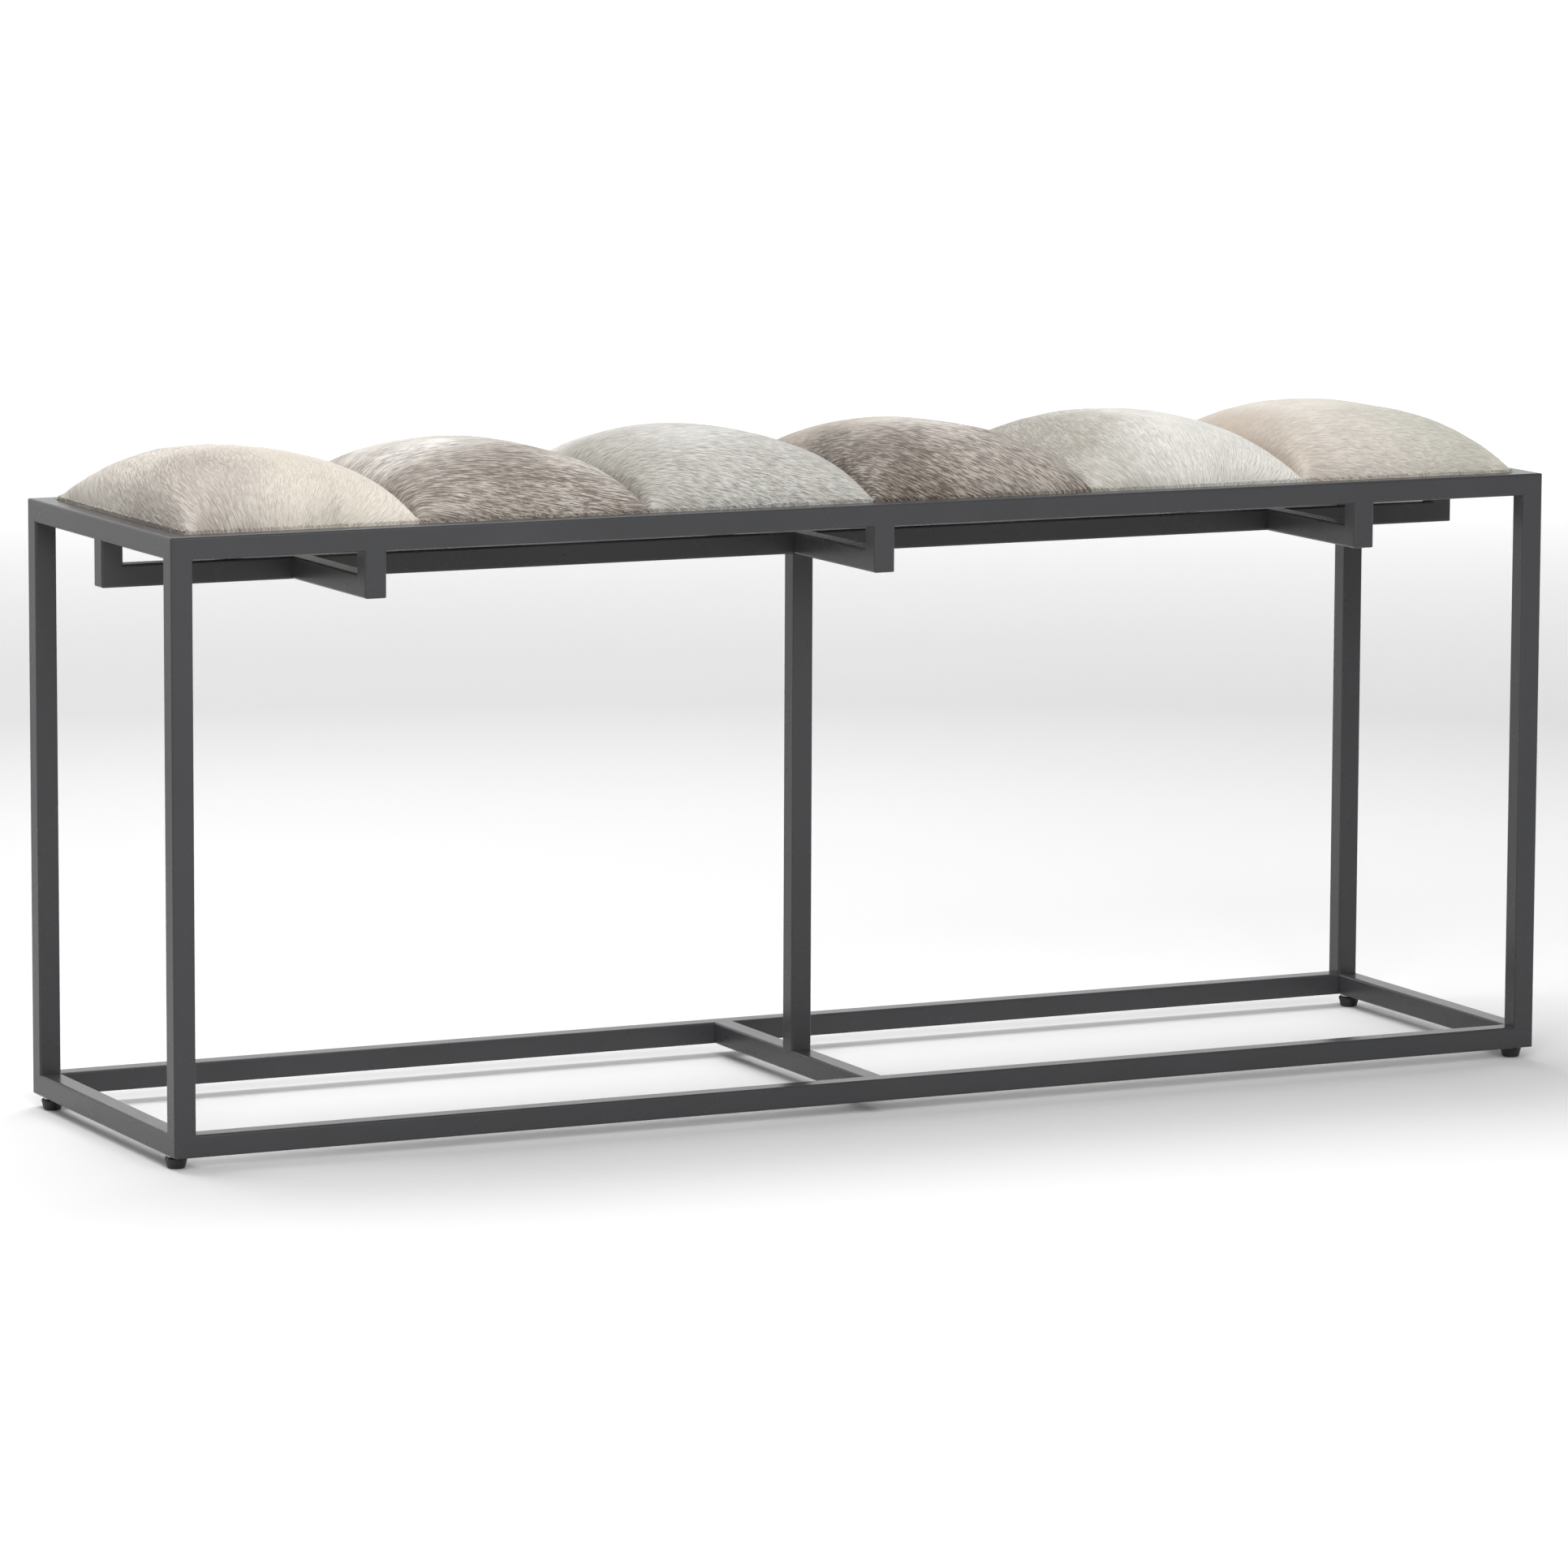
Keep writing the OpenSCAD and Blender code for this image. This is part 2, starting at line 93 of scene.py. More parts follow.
# How a hide's tone deepens or lightens: less in red than in blue
TONE_WARMTH = (1.0, 1.1, 1.25)

# Hair's flow: how far it strays, and how soon after the crown the fall counts in full
FLOW_STRAY, FLOW_STRAY_SCALE = 0.008, 16.0
FALL_STEEPNESS = 3.4

# Soft spots: where their edge starts and ends, in radii, and how ragged it is
SPOT_OUTER, SPOT_INNER, SPOT_RAGGED = 1.25, 0.55, 0.35
CALM_SHARE = 0.12

# Relief of the hair: heights of its clumps and of its broader waves
CLUMP_RELIEF, WAVE_RELIEF = 0.35 * MM, 0.5 * MM


def principled(name):
    """A new material with its node tree, Principled shader and object coordinates."""
    material = bpy.data.materials.new(name)
    material.use_nodes = True
    tree = material.node_tree
    shader = tree.nodes["Principled BSDF"]
    coordinates = tree.nodes.new("ShaderNodeTexCoord")
    return material, tree, shader, coordinates.outputs["Object"]


class Tree:
    """Short ways to add the nodes that the materials share."""

    def __init__(self, tree):
        self.tree = tree

    def link(self, source, socket):
        self.tree.links.new(source, socket)

    def put(self, node, index, value):
        if hasattr(value, "is_output"):
            self.link(value, node.inputs[index])
        else:
            node.inputs[index].default_value = value

    def math(self, operation, a, b=0.0):
        node = self.tree.nodes.new("ShaderNodeMath")
        node.operation = operation
        self.put(node, 0, a)
        self.put(node, 1, b)
        return node.outputs[0]

    def vector(self, operation, a, b, output="Vector"):
        node = self.tree.nodes.new("ShaderNodeVectorMath")
        node.operation = operation
        self.put(node, 0, a)
        self.put(node, 1, b)
        return node.outputs[output]

    def dot(self, a, b):
        return self.vector("DOT_PRODUCT", a, b, "Value")

    def split(self, vector):
        node = self.tree.nodes.new("ShaderNodeSeparateXYZ")
        self.link(vector, node.inputs[0])
        return node.outputs

    def join(self, x, y, z):
        node = self.tree.nodes.new("ShaderNodeCombineXYZ")
        for index, value in enumerate((x, y, z)):
            self.put(node, index, value)
        return node.outputs[0]

    def noise(self, vector, scale, detail=2.0, roughness=0.5, distortion=0.0):
        node = self.tree.nodes.new("ShaderNodeTexNoise")
        self.link(vector, node.inputs["Vector"])
        node.inputs["Scale"].default_value = scale
        node.inputs["Detail"].default_value = detail
        node.inputs["Roughness"].default_value = roughness
        node.inputs["Distortion"].default_value = distortion
        return node.outputs["Fac"]

    def ramp(self, value, *stops):
        node = self.tree.nodes.new("ShaderNodeValToRGB")
        self.link(value, node.inputs[0])
        elements = node.color_ramp.elements
        while len(elements) < len(stops):
            elements.new(0.5)
        for element, (place, colour) in zip(elements, stops):
            element.position = place
            element.color = grey(colour) if isinstance(colour, (int, float)) else (*colour, 1.0)
        return node.outputs["Color"]

    def mix(self, share, a, b, blend="MIX"):
        """Mixes two colours; sockets 6, 7 and 2 are the colour ones of a mix node."""
        node = self.tree.nodes.new("ShaderNodeMix")
        node.data_type = "RGBA"
        node.blend_type = blend
        self.put(node, 0, share)
        self.put(node, 6, a if hasattr(a, "is_output") else (*a[:3], 1.0))
        self.put(node, 7, b if hasattr(b, "is_output") else (*b[:3], 1.0))
        return node.outputs[2]

    def remap(self, value, low, high, to_low, to_high):
        node = self.tree.nodes.new("ShaderNodeMapRange")
        self.link(value, node.inputs[0])
        for index, number in enumerate((low, high, to_low, to_high), 1):
            node.inputs[index].default_value = number
        return node.outputs[0]

    def bump(self, height, strength, distance, normal=None):
        node = self.tree.nodes.new("ShaderNodeBump")
        node.inputs["Strength"].default_value = strength
        node.inputs["Distance"].default_value = distance
        self.link(height, node.inputs["Height"])
        if normal is not None:
            self.link(normal, node.inputs["Normal"])
        return node.outputs[0]


def grey(value):
    return (value, value, value, 1.0)


# ---------------------------------------------------------------- steel, plastic, wood and foam


def steel_material():
    """Satin graphite powder coat: faintly clouded and finely pitted."""
    material, tree, shader, place = principled("graphite_powder_coat")
    t = Tree(tree)
    cloud = t.noise(place, 9.0, 4.0, 0.6)
    pits = t.noise(place, 900.0, 2.0, 0.6)
    peel = t.noise(place, 260.0, 2.0, 0.5)
    base = t.ramp(
        cloud,
        (0.2, (0.044, 0.0445, 0.0465)),
        (0.5, (0.048, 0.0485, 0.051)),
        (0.85, (0.053, 0.0535, 0.056)),
    )
    speck = t.mix(t.remap(pits, 0.62, 0.8, 0.0, 0.3), base, (0.03, 0.03, 0.032))
    t.link(speck, shader.inputs["Base Color"])
    t.link(t.remap(cloud, 0.3, 0.7, 0.26, 0.29), shader.inputs["Roughness"])
    shader.inputs["Specular IOR Level"].default_value = 0.24
    fine = t.bump(pits, 0.06, 0.00004)
    t.link(t.bump(peel, 0.06, 0.00010, fine), shader.inputs["Normal"])
    return material


def zinc_material():
    material, tree, shader, place = principled("zinc_plate")
    t = Tree(tree)
    cloud = t.noise(place, 120.0, 4.0, 0.6)
    base = t.ramp(cloud, (0.3, (0.42, 0.43, 0.45)), (0.7, (0.62, 0.63, 0.64)))
    t.link(base, shader.inputs["Base Color"])
    t.link(t.remap(cloud, 0.3, 0.7, 0.28, 0.42), shader.inputs["Roughness"])
    shader.inputs["Metallic"].default_value = 0.95
    t.link(t.bump(t.noise(place, 1500.0), 0.1, 0.00004), shader.inputs["Normal"])
    return material


def nylon_material():
    material, tree, shader, place = principled("black_nylon")
    t = Tree(tree)
    grain = t.noise(place, 1400.0, 2.0, 0.6)
    scuff = t.noise(t.vector("MULTIPLY", place, (300.0, 300.0, 900.0)), 1.0, 4.0, 0.6)
    base = t.mix(t.remap(scuff, 0.55, 0.75, 0.0, 0.5), (0.012, 0.012, 0.013), (0.035, 0.035, 0.036))
    t.link(base, shader.inputs["Base Color"])
    t.link(t.remap(grain, 0.3, 0.7, 0.42, 0.56), shader.inputs["Roughness"])
    t.link(t.bump(grain, 0.2, 0.00008), shader.inputs["Normal"])
    return material


def plywood_material():
    """Birch plywood, near black on its faces, with bare plies along its edges."""
    material, tree, shader, place = principled("dark_faced_plywood")
    t = Tree(tree)
    grain = t.noise(t.vector("MULTIPLY", place, (260.0, 9.0, 260.0)), 1.0, 4.0, 0.6, 0.4)
    broad = t.noise(t.vector("MULTIPLY", place, (14.0, 2.0, 14.0)), 1.0, 2.0)
    # Near-black colour of the faces, with darker and lighter grain.
    dark_face = t.ramp(
        grain,
        (0.3, (0.018, 0.015, 0.013)),
        (0.55, (0.030, 0.025, 0.021)),
        (0.75, (0.055, 0.044, 0.035)),
    )
    dark_face = t.mix(t.remap(broad, 0.35, 0.65, 0.0, 0.5), dark_face, (0.022, 0.019, 0.017))
    ply = t.math("FLOORED_MODULO", t.math("MULTIPLY", t.split(place)[2], 1.0 / (2.4 * MM)), 2.0)
    edge = t.mix(t.remap(ply, 0.9, 1.1, 0.0, 1.0), (0.16, 0.11, 0.07), (0.09, 0.06, 0.038))
    geometry = tree.nodes.new("ShaderNodeNewGeometry")
    upright = t.math("ABSOLUTE", t.split(geometry.outputs["Normal"])[2])
    t.link(t.mix(t.remap(upright, 0.4, 0.6, 0.0, 1.0), edge, dark_face), shader.inputs["Base Color"])
    t.link(t.remap(grain, 0.3, 0.7, 0.6, 0.75), shader.inputs["Roughness"])
    t.link(t.bump(grain, 0.25, 0.0002), shader.inputs["Normal"])
    return material


def foam_material():
    material, tree, shader, place = principled("cream_foam")
    t = Tree(tree)
    cells = t.noise(place, 1100.0, 2.0, 0.7)
    cloud = t.noise(place, 25.0, 3.0)
    base = t.mix(t.remap(cells, 0.35, 0.65, 0.0, 1.0), (0.62, 0.57, 0.42), (0.86, 0.81, 0.66))
    t.link(t.mix(t.remap(cloud, 0.3, 0.7, 0.0, 0.3), base, (0.80, 0.70, 0.48)), shader.inputs["Base Color"])
    shader.inputs["Roughness"].default_value = 0.9
    t.link(t.bump(cells, 0.6, 0.0006), shader.inputs["Normal"])
    return material


# ---------------------------------------------------------------- hide

# One entry per pad, left to right: the crown's height, how far the crown leans across and along, where
# its hair is combed away from (pad widths across, pad lengths along), its ground colour, the painted
# shade between the tufts and the painted highlight on them (tip) and how strongly they show, where they
# hardly show, patches of other colours, and places that are lighter or darker as a whole; places and
# radii are across and along, in half widths and half lengths of the pad
HIDES = [
    dict(crown=52.0, lean=(-0.18, -0.15), comb=(0.25, 0.62), contrast=0.66, calm=(0.95, 0.0, 1.7, 2.6),
         ground=(0.66, 0.605, 0.53), gap=(0.25, 0.21, 0.18), tip=(0.78, 0.74, 0.67),
         patches=[((0.42, 0.375, 0.335), -0.85, -0.6, 0.70, 0.7), ((0.60, 0.555, 0.50), -0.5, 0.6, 1.0, 0.7)],
         tones=[(1.05, -0.4, -0.85, 0.3, 0.25), (0.90, -0.3, -0.38, 0.6, 0.35),
                (0.90, 0.4, -0.62, 0.5, 0.3)]),
    dict(crown=49.0, lean=(-0.06, -0.06), comb=(-2.5, 0.2), contrast=1.25, calm=(-0.1, 0.85, 1.4, 0.8),
         ground=(0.312, 0.275, 0.238), gap=(0.10, 0.079, 0.062), tip=(0.59, 0.54, 0.48),
         patches=[((0.20, 0.166, 0.135), 0.1, -0.8, 0.9, 0.4), ((0.40, 0.36, 0.315), -0.2, -0.98, 0.6, 0.14),
                  ((0.50, 0.455, 0.405), 0.75, -0.2, 0.5, 0.6),
                  ((0.66, 0.625, 0.58), 0.1, 0.32, 1.4, 0.62)],
         tones=[(1.24, -0.25, -0.22, 0.6, 0.30), (1.20, 0.55, -0.85, 0.35, 0.4),
                (0.88, -0.15, -1.0, 0.35, 0.12)]),
    dict(crown=52.5, lean=(-0.10, -0.08), comb=(-2.2, 0.45), contrast=0.9, calm=(0.1, 0.8, 1.4, 0.7),
         ground=(0.50, 0.485, 0.45), gap=(0.20, 0.187, 0.165), tip=(0.70, 0.69, 0.655),
         patches=[((0.35, 0.335, 0.29), -1.0, -0.2, 0.55, 1.1), ((0.62, 0.61, 0.575), 0.0, 0.7, 1.0, 0.5)],
         tones=[(1.09, -0.3, -0.25, 0.6, 0.35)]),
    dict(crown=50.0, lean=(-0.10, -0.10), comb=(-1.1, 0.75), contrast=1.3, calm=(0.2, 0.6, 1.3, 0.62),
         ground=(0.315, 0.273, 0.232), gap=(0.09, 0.071, 0.055), tip=(0.61, 0.555, 0.495),
         patches=[((0.15, 0.12, 0.10), -0.8, -0.15, 0.72, 1.3), ((0.11, 0.085, 0.07), 0.97, -0.98, 0.2, 0.14),
                  ((0.38, 0.34, 0.30), 0.25, -0.8, 0.6, 0.3),
                  ((0.60, 0.555, 0.50), 0.2, 0.42, 1.3, 0.62)],
         tones=[(0.70, -0.7, -0.25, 0.6, 0.95), (1.42, -0.22, -0.28, 0.55, 0.34)]),
    dict(crown=48.0, lean=(0.10, 0.10), comb=(0.15, 1.3), contrast=0.5, calm=(0.6, 0.0, 0.8, 1.5),
         ground=(0.66, 0.645, 0.60), gap=(0.30, 0.275, 0.24), tip=(0.78, 0.77, 0.74),
         patches=[((0.29, 0.264, 0.222), -1.0, 0.2, 0.9, 1.4)]),
    dict(crown=52.0, lean=(-0.18, -0.15), comb=(-2.4, 0.1), contrast=0.55, calm=(-0.6, 0.5, 1.0, 1.0),
         ground=(0.645, 0.595, 0.535), gap=(0.33, 0.29, 0.245), tip=(0.72, 0.69, 0.64),
         patches=[((0.47, 0.40, 0.335), -1.0, -0.1, 0.4, 1.0), ((0.56, 0.555, 0.475), 0.65, -0.4, 0.7, 0.8)]),
]


class Pad:
    """Place and size of one pad, from its CAD cover."""

    def __init__(self, number):
        low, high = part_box(f"pad_cover_{number}")
        self.number = number
        self.look = HIDES[number - 1]
        self.middle = (low.x + high.x) / 2
        self.width = high.x - low.x
        self.length = high.y - low.y
        self.base = low.z

    def comb(self):
        """Where the hair is combed away from, in the frame."""
        across, along = self.look["comb"]
        return self.middle + across * self.width, along * self.length


def hair_flow(t, place, pad):
    """Lengths across and along the hair, which fans out from the comb's place, measured on the dome."""
    comb_x, comb_y = pad.comb()
    reach = math.hypot(comb_x - pad.middle, comb_y)
    flow = ((pad.middle - comb_x) / reach, -comb_y / reach)
    x, y, z = t.split(t.vector("SUBTRACT", place, (comb_x, comb_y, RAIL_TOP + pad.look["crown"] * MM)))
    angle = t.math("ARCTAN2", x, t.math("MULTIPLY", y, -1.0))
    stray = t.math("MULTIPLY", t.noise(place, FLOW_STRAY_SCALE, 2.0), FLOW_STRAY)
    run = t.math("SQRT", t.math("ADD", t.math("MULTIPLY", x, x), t.math("MULTIPLY", y, y)))
    from_middle = t.vector("SUBTRACT", place, (pad.middle, 0.0, 0.0))

    def fallen(toward_x, toward_y):
        """How far the surface has dropped below its crown, with a sign for the side it is on."""
        steep = (FALL_STEEPNESS * toward_x / pad.width, FALL_STEEPNESS * toward_y / pad.length, 0.0)
        side = t.remap(t.dot(from_middle, steep), -1.0, 1.0, 1.0, -1.0)
        return t.math("MULTIPLY", z, side)

    across = t.math("ADD", t.math("MULTIPLY", angle, reach), fallen(-flow[1], flow[0]))
    along = t.math("ADD", run, fallen(*flow))
    return t.math("ADD", across, stray), along


def nearness(t, place, pad, blotch, spot):
    """1 inside a soft-edged spot of a pad and 0 outside it."""
    across, along, radius_across, radius_along = spot
    centre = (pad.middle + across * pad.width / 2, along * pad.length / 2, 0.0)
    reach = (2 / (radius_across * pad.width), 2 / (radius_along * pad.length), 0.0)
    away = t.vector("MULTIPLY", t.vector("SUBTRACT", place, centre), reach)
    ragged = t.remap(blotch, 0.25, 0.75, SPOT_RAGGED, -SPOT_RAGGED)
    edge = t.math("ADD", t.math("SQRT", t.dot(away, away)), ragged)
    return t.remap(edge, SPOT_OUTER, SPOT_INNER, 0.0, 1.0)


def hide_material(pad):
    """Short-haired hide: fine strokes of painted shade and painted highlight along the hair's flow over soft
    patches of colour.
    """
    look = pad.look
    material, tree, shader, place = principled(f"hide_{pad.number}")
    t = Tree(tree)
    across, along = hair_flow(t, place, pad)

    def strands(per_metre_across, per_metre_along, detail, seed):
        vector = t.join(
            t.math("MULTIPLY", across, per_metre_across),
            t.math("MULTIPLY", along, per_metre_along),
            seed + pad.number * 7.3,
        )
        return t.noise(vector, 1.0, detail, 0.5, 0.15)

    tufts = strands(600.0, 58.0, 2.0, 0.0)
    hairs = strands(1000.0, 85.0, 2.0, 3.0)
    fine = strands(2600.0, 170.0, 1.0, 5.0)
    blotch = t.noise(t.vector("ADD", place, (pad.number * 1.7, 0.0, 0.0)), 16.0, 5.0, 0.6)
    colour = (*look["ground"], 1.0)
    for shade, *spot in look["patches"]:
        colour = t.mix(nearness(t, place, pad, blotch, spot), colour, shade)
    tone = t.ramp(blotch, (0.3, 0.88), (0.5, 1.0), (0.7, 1.08))
    colour = t.mix(1.0, colour, tone, "MULTIPLY")
    calm = nearness(t, place, pad, blotch, look["calm"])
    contrast = t.remap(calm, 0.0, 1.0, look["contrast"], CALM_SHARE * look["contrast"])

    def strokes(value, start, end, strength):
        return t.math("MULTIPLY", t.remap(value, start, end, 0.0, strength), contrast)

    # Painted shade: the dark strokes between the tufts. Painted highlight: the light strokes on them, in the
    # tip colour.
    gap, tip = t.mix(0.75, colour, look["gap"]), t.mix(0.6, colour, look["tip"])
    colour = t.mix(strokes(tufts, 0.49, 0.39, 0.70), colour, gap)
    colour = t.mix(strokes(tufts, 0.53, 0.62, 0.60), colour, tip)
    colour = t.mix(strokes(hairs, 0.49, 0.40, 0.95), colour, gap)
    colour = t.mix(strokes(hairs, 0.53, 0.61, 0.80), colour, tip)
    strand_tone = t.ramp(fine, (0.35, 0.84), (0.65, 1.10))
    colour = t.mix(1.0, colour, strand_tone, "MULTIPLY")
    for factor, *spot in look.get("tones", ()):
        tint = tuple(factor**warmth for warmth in TONE_WARMTH)
        colour = t.mix(nearness(t, place, pad, blotch, spot), colour, tint, "MULTIPLY")
    t.link(colour, shader.inputs["Base Color"])
    t.link(t.remap(hairs, 0.3, 0.7, 0.72, 0.52), shader.inputs["Roughness"])
    shader.inputs["Specular IOR Level"].default_value = 0.3
    shader.inputs["Sheen Weight"].default_value = 0.1
    shader.inputs["Sheen Roughness"].default_value = 0.45
    shader.inputs["Sheen Tint"].default_value = (1.0, 0.97, 0.93, 1.0)
    normal = t.bump(fine, 0.3, 0.0003)
    normal = t.bump(hairs, 0.8, 0.0011, normal)
    t.link(t.bump(tufts, 0.6, 0.0016, normal), shader.inputs["Normal"])
    return material


def skin_material():
    """Raw inner side of the hide, which shows where it is folded under the boards."""
    material, tree, shader, place = principled("hide_flesh_side")
    t = Tree(tree)
    cloud = t.noise(place, 40.0, 5.0, 0.65)
    nap = t.noise(place, 1600.0, 2.0, 0.6)
    base = t.ramp(cloud, (0.3, (0.46, 0.41, 0.35)), (0.7, (0.62, 0.57, 0.50)))
    t.link(t.mix(t.remap(nap, 0.4, 0.7, 0.0, 0.3), base, (0.72, 0.67, 0.60)), shader.inputs["Base Color"])
    shader.inputs["Roughness"].default_value = 0.85
    t.link(t.bump(nap, 0.4, 0.0003), shader.inputs["Normal"])
    return material


# ---------------------------------------------------------------- shape of the pads


def plan_point(x, y, width, length, corner):
    """A point of a rectangle moved so that the rectangle's corners are round."""
    over_x = abs(x) - (width / 2 - corner)
    over_y = abs(y) - (length / 2 - corner)
    if over_x <= 0 or over_y <= 0:
        return x, y
    pull = max(over_x, over_y) / math.hypot(over_x, over_y)
    return (
        math.copysign(width / 2 - corner + over_x * pull, x),
        math.copysign(length / 2 - corner + over_y * pull, y),
    )


def dome(across, along, look):
    """Height of the dome, from 0 at the edges to 1 at the crown, at a place from -1 to 1 each way."""
    lean_across, lean_along = look["lean"]
    a = abs(across - lean_across * (1 - across * across))
    b = abs(along - lean_along * (1 - along * along))
    rise_across = max(0.0, 1 - a**ACROSS_POWER) ** ACROSS_ROOT
    rise_along = max(0.0, 1 - b**ALONG_POWER) ** ALONG_ROOT
    return rise_across * rise_along


def eased(count):
    """Steps from -1 to 1 that are closer together near both ends."""
    steps = np.linspace(-1.0, 1.0, count + 1)
    return 0.45 * steps + 0.55 * np.sin(steps * math.pi / 2)


def dome_grid(pad, inset, top_z, drop):
    """Rows of points over a pad: a dome that stands on top_z, inset from the sides and lowered by drop."""
    width, length = pad.width - 2 * inset, pad.length - 2 * inset
    crown = pad.look["crown"] * MM - drop
    rows = []
    for v in eased(CELLS_ALONG):
        row = []
        for u in eased(CELLS_ACROSS):
            x, y = plan_point(u * width / 2, v * length / 2, width, length, PLAN_CORNER)
            unevenness = noise.noise(Vector((pad.middle + x, y, pad.number)) * 14.0)
            height = crown * dome(u, v, pad.look) * (1 + UNEVENNESS * unevenness)
            row.append((pad.middle + x, y, top_z + height))
        rows.append(row)
    return rows


def rim_of(columns, rows):
    """Indices of a grid's outer points, in order round it."""
    front = [c for c in range(columns)]
    right = [r * columns + columns - 1 for r in range(1, rows)]
    rear = [(rows - 1) * columns + c for c in range(columns - 2, -1, -1)]
    left = [r * columns for r in range(rows - 2, 0, -1)]
    return front + right + rear + left


def dome_mesh(rows):
    """Points and faces of a dome's grid, and the indices of its rim."""
    columns = CELLS_ACROSS + 1
    points = [p for row in rows for p in row]
    faces = [
        (r * columns + c, r * columns + c + 1, (r + 1) * columns + c + 1, (r + 1) * columns + c)
        for r in range(CELLS_ALONG)
        for c in range(CELLS_ACROSS)
    ]
    return points, faces, rim_of(columns, CELLS_ALONG + 1)


def side_faces(above, below):
    """Faces between two closed rings of indices."""
    faces = []
    for i in range(len(above)):
        j = (i + 1) % len(above)
        faces.append((above[j], above[i], below[i], below[j]))
    return faces


def ring_below(points, pad, inset_x, inset_y, z):
    """A copy of a rim at height z, moved towards the pad's middle by an inset each way."""
    scale_x = (pad.width - 2 * inset_x) / pad.width
    scale_y = (pad.length - 2 * inset_y) / pad.length
    return [(pad.middle + (x - pad.middle) * scale_x, y * scale_y, z) for x, y, _ in points]


def skin_mesh(pad):
    """The hide's outer surface: dome, sides, and the border folded under the board."""
    rows = dome_grid(pad, 0.0, RAIL_TOP + EDGE_RISE, HIDE_DROP)
    points, faces, rim = dome_mesh(rows)
    rim_points = [points[i] for i in rim]
    dome_points = len(points)
    # Rings below the rim: insets across and along, and height, down the sides and then under the board
    levels = [
        (-0.26 * MM, -0.6 * MM, RAIL_TOP + 0.5 * MM),
        (-0.26 * MM, -0.6 * MM, RAIL_TOP - 5 * MM),
        (0.2 * MM, 0.2 * MM, pad.base + 2.0 * MM),
        (0.9 * MM, 0.9 * MM, pad.base + 0.4 * MM),
        (3.5 * MM, 3.5 * MM, pad.base + 0.1 * MM),
        (14 * MM, 14 * MM, pad.base + 0.1 * MM),
        (FOLD, FOLD, pad.base + 0.1 * MM),
    ]
    above = rim
    for inset_x, inset_y, z in levels:
        below = list(range(len(points), len(points) + len(rim)))
        points += ring_below(rim_points, pad, inset_x, inset_y, z)
        faces += side_faces(above, below)
        above = below
    held = range(dome_points, len(points))
    return points, faces, [*rim, *held]


def new_object(name, points, faces):
    mesh = bpy.data.meshes.new(name)
    mesh.from_pydata(points, [], faces)
    mesh.update()
    made = bpy.data.objects.new(name, mesh)
    bpy.context.scene.collection.objects.link(made)
    return made


def coordinates(mesh):
    values = np.zeros(len(mesh.vertices) * 3)
    mesh.vertices.foreach_get("co", values)
    return values.reshape(-1, 3)


def put_coordinates(mesh, values):
    mesh.vertices.foreach_set("co", values.ravel())
    mesh.update()


def applied(obj):
    """Bakes an object's modifiers into its mesh."""
    graph = bpy.context.evaluated_depsgraph_get()
    baked = bpy.data.meshes.new_from_object(obj.evaluated_get(graph))
    old = obj.data
    obj.modifiers.clear()
    obj.data = baked
    bpy.data.meshes.remove(old)


def swell(obj, held):
    """Blows the hide up with a cloth simulation, its sides held, and caps how far it may move."""
    group = obj.vertex_groups.new(name="held")
    group.add(list(held), 1.0, "REPLACE")
    before = coordinates(obj.data)
    cloth = obj.modifiers.new("swell", "CLOTH")
    settings = cloth.settings
    settings.quality = 6
    settings.mass = 0.25
    settings.tension_stiffness = 22
    settings.compression_stiffness = 22
    settings.shear_stiffness = 12
    settings.bending_stiffness = 1.5
    settings.vertex_group_mass = "held"
    settings.use_pressure = True
    settings.uniform_pressure_force = SWELL_PRESSURE
    settings.effector_weights.gravity = 0.0
    cloth.point_cache.frame_start = 1
    cloth.point_cache.frame_end = SWELL_FRAMES
    for step in range(1, SWELL_FRAMES + 1):
        bpy.context.scene.frame_set(step)
    applied(obj)
    bpy.context.scene.frame_set(1)
    moved = coordinates(obj.data) - before
    far = np.linalg.norm(moved, axis=1, keepdims=True)
    capped = moved * np.minimum(1.0, SWELL_CAP / np.maximum(far, 1e-9))
    after = before + capped
    for axis, overhang in ((0, 0.0), (1, SWELL_OVERHANG_ALONG)):
        low, high = before[:, axis].min() - overhang, before[:, axis].max() + overhang
        after[:, axis] = np.clip(after[:, axis], low, high)
    put_coordinates(obj.data, after)
    obj.vertex_groups.clear()


def tuft_relief(obj, pad):
    """Raises the hide's surface in soft tufts along the hair's flow, where its hair side shows."""
    points = coordinates(obj.data)
    normals = np.zeros(len(points) * 3)
    obj.data.vertices.foreach_get("normal", normals)
    normals = normals.reshape(-1, 3)
    comb_x, comb_y = pad.comb()
    reach = math.hypot(comb_x - pad.middle, comb_y)
    for index, (x, y, z) in enumerate(points):
        shown = min(1.0, max(0.0, (z - (RAIL_TOP - 2 * MM)) / (8 * MM)))
        if shown == 0.0:
            continue
        dx, dy = x - comb_x, y - comb_y
        across = math.atan2(dx, -dy) * reach
        along = math.hypot(dx, dy) - (z - RAIL_TOP)
        clump = noise.noise(Vector((across * 90.0, along * 40.0, pad.number * 3.1)))
        wave = noise.noise(Vector((across * 35.0, along * 20.0, pad.number * 5.7)))
        points[index] += normals[index] * shown * (CLUMP_RELIEF * clump + WAVE_RELIEF * wave)
    put_coordinates(obj.data, points)


def smooth(obj):
    obj.data.polygons.foreach_set("use_smooth", [True] * len(obj.data.polygons))
    obj.data.update()


